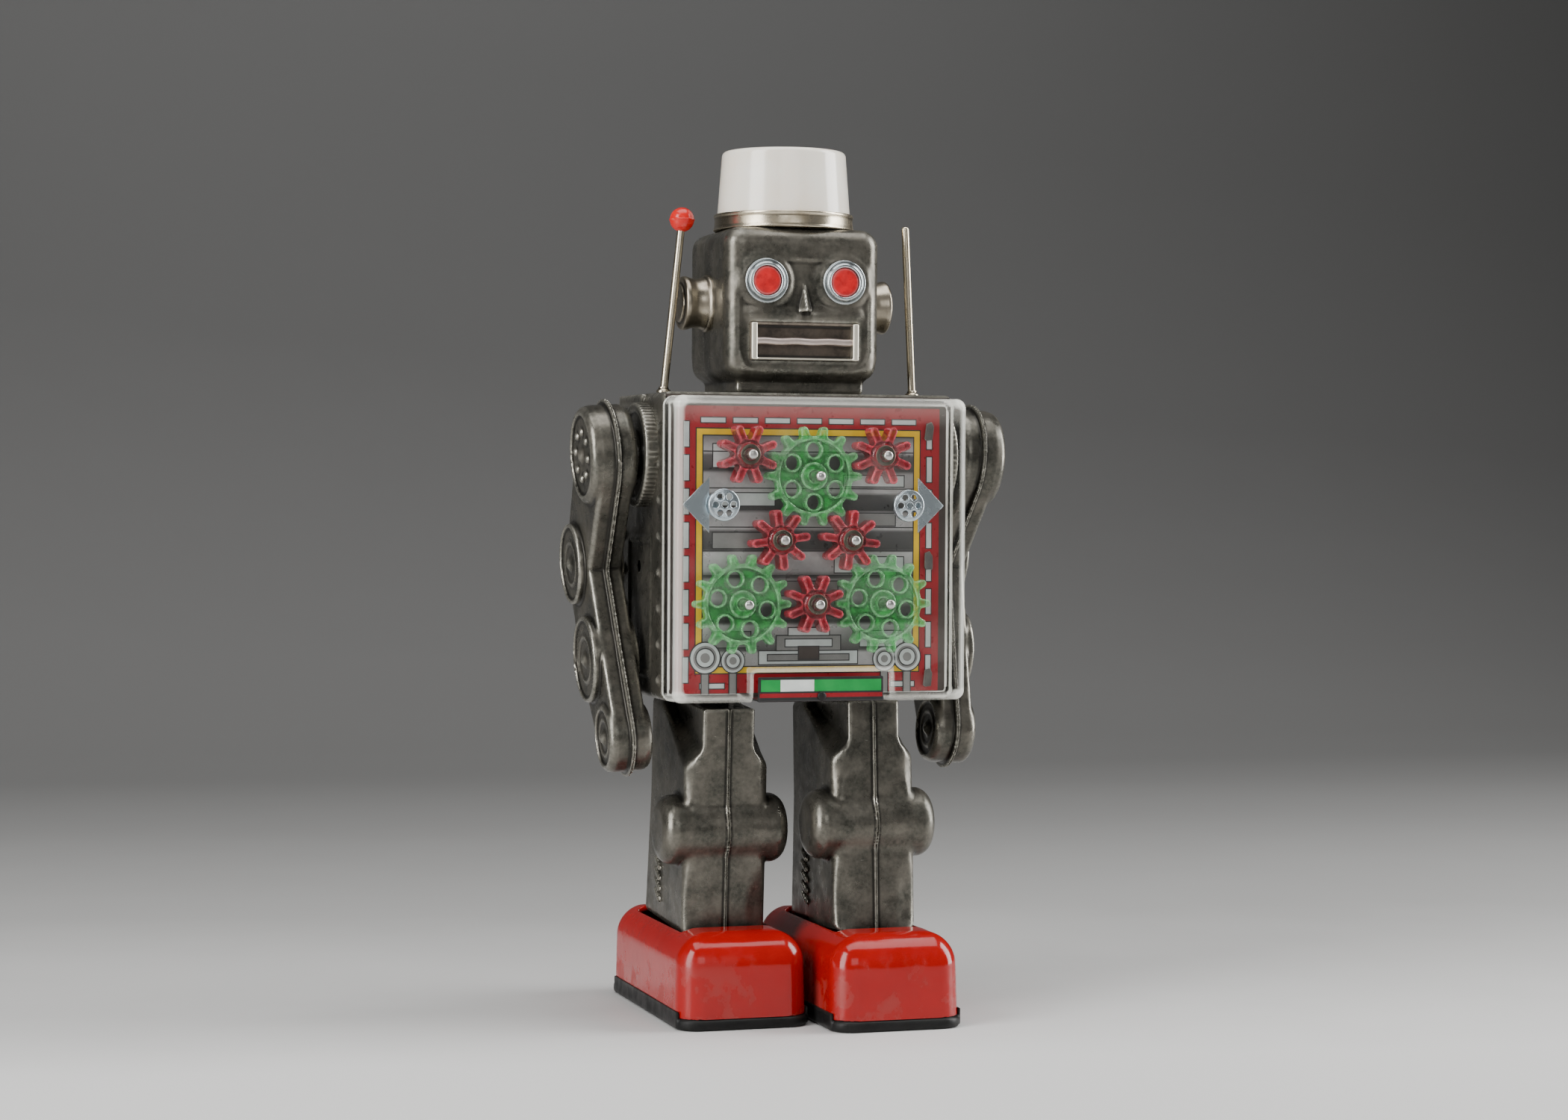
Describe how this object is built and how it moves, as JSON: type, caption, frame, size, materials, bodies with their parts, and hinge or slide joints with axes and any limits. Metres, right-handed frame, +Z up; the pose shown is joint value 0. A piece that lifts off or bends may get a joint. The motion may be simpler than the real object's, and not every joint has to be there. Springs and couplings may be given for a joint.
{
  "type": "tin wind-up robot",
  "caption": "Boxy clockwork walking robot in pressed tin with gears turning behind a clear chest cover, hinged legs, swinging arms and red feet.",
  "frame": {"origin": "on the ground, at the centre of the base of the whole object's box, midway between the feet", "axes": "+Z up, -Y forwards (the face and chest look along -Y), +X towards the robot's left side"},
  "size_m": [0.1464, 0.1092, 0.29],
  "materials": {
    "grey_tin": "gunmetal lithographed tin, satin, worn bright at the edges",
    "printed_tin": "printed tin, gloss",
    "clear_plastic": "clear moulded styrene, slightly yellowed",
    "printed_clip": "gloss printed tin",
    "bright_tin": "bright tinplate",
    "nickel": "tarnished nickel plate",
    "steel": "plain steel",
    "brass": "stamped brass",
    "green_plastic": "translucent moulded plastic",
    "red_plastic": "translucent moulded plastic",
    "white_plastic": "translucent white moulded plastic",
    "red_tin": "gloss red enamel, scuffed",
    "black_tin": "satin black enamel, scuffed",
    "rubber": "matt moulded rubber"
  },
  "bodies": {
    "torso": {"torso_shell": "grey_tin", "torso_back": "grey_tin", "chest_plate": "printed_tin", "chest_window": "clear_plastic", "window_clip": "printed_clip", "arrow_plates": "bright_tin", "perforated_discs": "bright_tin", "gear_pins": "steel", "shoulder_bosses": "grey_tin", "head_shell": "grey_tin", "mouth_frame": "bright_tin", "mouth_bar": "nickel", "eye_rings": "bright_tin", "eye_lenses": "red_plastic", "ears": "nickel", "cap_collar": "nickel", "cap": "white_plastic", "antenna_rods": "nickel", "antenna_ball": "red_plastic", "movement_plates": "brass", "movement_pillars": "steel", "mainspring": "steel", "hip_shaft": "steel"},
    "winding": {"winding_arbor": "steel", "winding_key": "nickel"},
    "great_wheel": {"great_wheel": "brass", "click": "steel"},
    "chest_drive": {"gear_top": "green_plastic", "chest_shaft": "steel", "crown_wheel": "brass"},
    "crank": {"crank_shaft": "steel"},
    "governor": {"governor": "brass"},
    "pinion_outer_right": {"pinion_outer_right": "red_plastic"},
    "pinion_outer_left": {"pinion_outer_left": "red_plastic"},
    "pinion_inner_right": {"pinion_inner_right": "red_plastic"},
    "pinion_inner_left": {"pinion_inner_left": "red_plastic"},
    "gear_low_right": {"gear_low_right": "green_plastic"},
    "gear_low_left": {"gear_low_left": "green_plastic"},
    "pinion_low": {"pinion_low": "red_plastic"},
    "arm_right": {"arm_outer_right": "grey_tin", "arm_inner_right": "grey_tin", "arm_shaft_right": "steel"},
    "leg_right": {"leg_outer_right": "grey_tin", "leg_inner_right": "grey_tin", "leg_link_right": "steel"},
    "foot_right": {"foot_shell_right": "red_tin", "foot_sole_right": "black_tin", "ankle_pin_right": "steel"},
    "toe_roller_right": {"toe_roller_right": "rubber"},
    "arm_left": {"arm_outer_left": "grey_tin", "arm_inner_left": "grey_tin", "arm_shaft_left": "steel"},
    "leg_left": {"leg_outer_left": "grey_tin", "leg_inner_left": "grey_tin", "leg_link_left": "steel"},
    "foot_left": {"foot_shell_left": "red_tin", "foot_sole_left": "black_tin", "ankle_pin_left": "steel"},
    "toe_roller_left": {"toe_roller_left": "rubber"}
  },
  "joints": [
    {"name": "great_wheel_spin", "type": "hinge", "parent": "torso", "child": "great_wheel", "pos_m": [0, -0.0191, 0.1442], "axis": [0, 1, 0], "continuous": true},
    {"name": "winding_key_turn", "type": "hinge", "parent": "torso", "child": "winding", "pos_m": [0, 0.03, 0.1442], "axis": [0, 1, 0], "continuous": true},
    {"name": "chest_drive_spin", "type": "hinge", "parent": "torso", "child": "chest_drive", "pos_m": [0, -0.03, 0.1802], "axis": [0, 1, 0], "continuous": true},
    {"name": "crank_spin", "type": "hinge", "parent": "torso", "child": "crank", "pos_m": [0, 0.0054, 0.1802], "axis": [1, 0, 0], "continuous": true},
    {"name": "governor_spin", "type": "hinge", "parent": "torso", "child": "governor", "pos_m": [0.02546, -0.012, 0.11874], "axis": [0, 1, 0], "continuous": true},
    {"name": "pinion_outer_right_spin", "type": "hinge", "parent": "torso", "child": "pinion_outer_right", "pos_m": [-0.02319, -0.032, 0.18711], "axis": [0, 1, 0], "continuous": true},
    {"name": "pinion_outer_left_spin", "type": "hinge", "parent": "torso", "child": "pinion_outer_left", "pos_m": [0.02319, -0.032, 0.18711], "axis": [0, 1, 0], "continuous": true},
    {"name": "pinion_inner_right_spin", "type": "hinge", "parent": "torso", "child": "pinion_inner_right", "pos_m": [-0.0121, -0.032, 0.15924], "axis": [0, 1, 0], "continuous": true},
    {"name": "pinion_inner_left_spin", "type": "hinge", "parent": "torso", "child": "pinion_inner_left", "pos_m": [0.0121, -0.032, 0.15924], "axis": [0, 1, 0], "continuous": true},
    {"name": "gear_low_right_spin", "type": "hinge", "parent": "torso", "child": "gear_low_right", "pos_m": [-0.0242, -0.032, 0.13828], "axis": [0, 1, 0], "continuous": true},
    {"name": "gear_low_left_spin", "type": "hinge", "parent": "torso", "child": "gear_low_left", "pos_m": [0.0242, -0.032, 0.13828], "axis": [0, 1, 0], "continuous": true},
    {"name": "pinion_low_spin", "type": "hinge", "parent": "torso", "child": "pinion_low", "pos_m": [0, -0.032, 0.13828], "axis": [0, 1, 0], "continuous": true},
    {"name": "hip_left", "type": "hinge", "parent": "torso", "child": "leg_left", "pos_m": [0.0242, 0.002, 0.15], "axis": [1, 0, 0], "range_deg": [-1, 7.8]},
    {"name": "hip_right", "type": "hinge", "parent": "torso", "child": "leg_right", "pos_m": [-0.0242, 0.002, 0.15], "axis": [1, 0, 0], "range_deg": [-7.8, 1]},
    {"name": "ankle_left", "type": "hinge", "parent": "leg_left", "child": "foot_left", "pos_m": [0.0242, -0.00608, 0.014], "axis": [1, 0, 0], "range_deg": [-7.8, 1]},
    {"name": "ankle_right", "type": "hinge", "parent": "leg_right", "child": "foot_right", "pos_m": [-0.0242, 0.01008, 0.014], "axis": [1, 0, 0], "range_deg": [-1, 7.8]},
    {"name": "shoulder_left", "type": "hinge", "parent": "torso", "child": "arm_left", "pos_m": [0.055, -0.0055, 0.187], "axis": [1, 0, 0], "range_deg": [-5.9, 0.8]},
    {"name": "shoulder_right", "type": "hinge", "parent": "torso", "child": "arm_right", "pos_m": [-0.055, -0.0055, 0.187], "axis": [1, 0, 0], "range_deg": [-0.8, 5.9]},
    {"name": "toe_roller_right_spin", "type": "hinge", "parent": "foot_right", "child": "toe_roller_right", "pos_m": [-0.0237, -0.01892, 0.005], "axis": [1, 0, 0], "continuous": true},
    {"name": "toe_roller_left_spin", "type": "hinge", "parent": "foot_left", "child": "toe_roller_left", "pos_m": [0.0237, -0.03508, 0.005], "axis": [1, 0, 0], "continuous": true}
  ],
  "couplings": [
    {"joint": "chest_drive_spin", "follows": "great_wheel_spin", "ratio": -5},
    {"joint": "crank_spin", "follows": "great_wheel_spin", "ratio": -11},
    {"joint": "governor_spin", "follows": "great_wheel_spin", "ratio": -5},
    {"joint": "pinion_outer_right_spin", "follows": "great_wheel_spin", "ratio": 8.75},
    {"joint": "pinion_outer_left_spin", "follows": "great_wheel_spin", "ratio": 8.75},
    {"joint": "pinion_inner_right_spin", "follows": "great_wheel_spin", "ratio": 8.75},
    {"joint": "pinion_inner_left_spin", "follows": "great_wheel_spin", "ratio": 8.75},
    {"joint": "gear_low_right_spin", "follows": "great_wheel_spin", "ratio": -5},
    {"joint": "gear_low_left_spin", "follows": "great_wheel_spin", "ratio": -5},
    {"joint": "pinion_low_spin", "follows": "great_wheel_spin", "ratio": 8.75},
    {"joint": "hip_right", "follows": "hip_left", "ratio": -1},
    {"joint": "ankle_left", "follows": "hip_left", "ratio": -1},
    {"joint": "ankle_right", "follows": "hip_left", "ratio": 1},
    {"joint": "shoulder_left", "follows": "hip_left", "ratio": -0.75},
    {"joint": "shoulder_right", "follows": "hip_left", "ratio": 0.75}
  ]
}
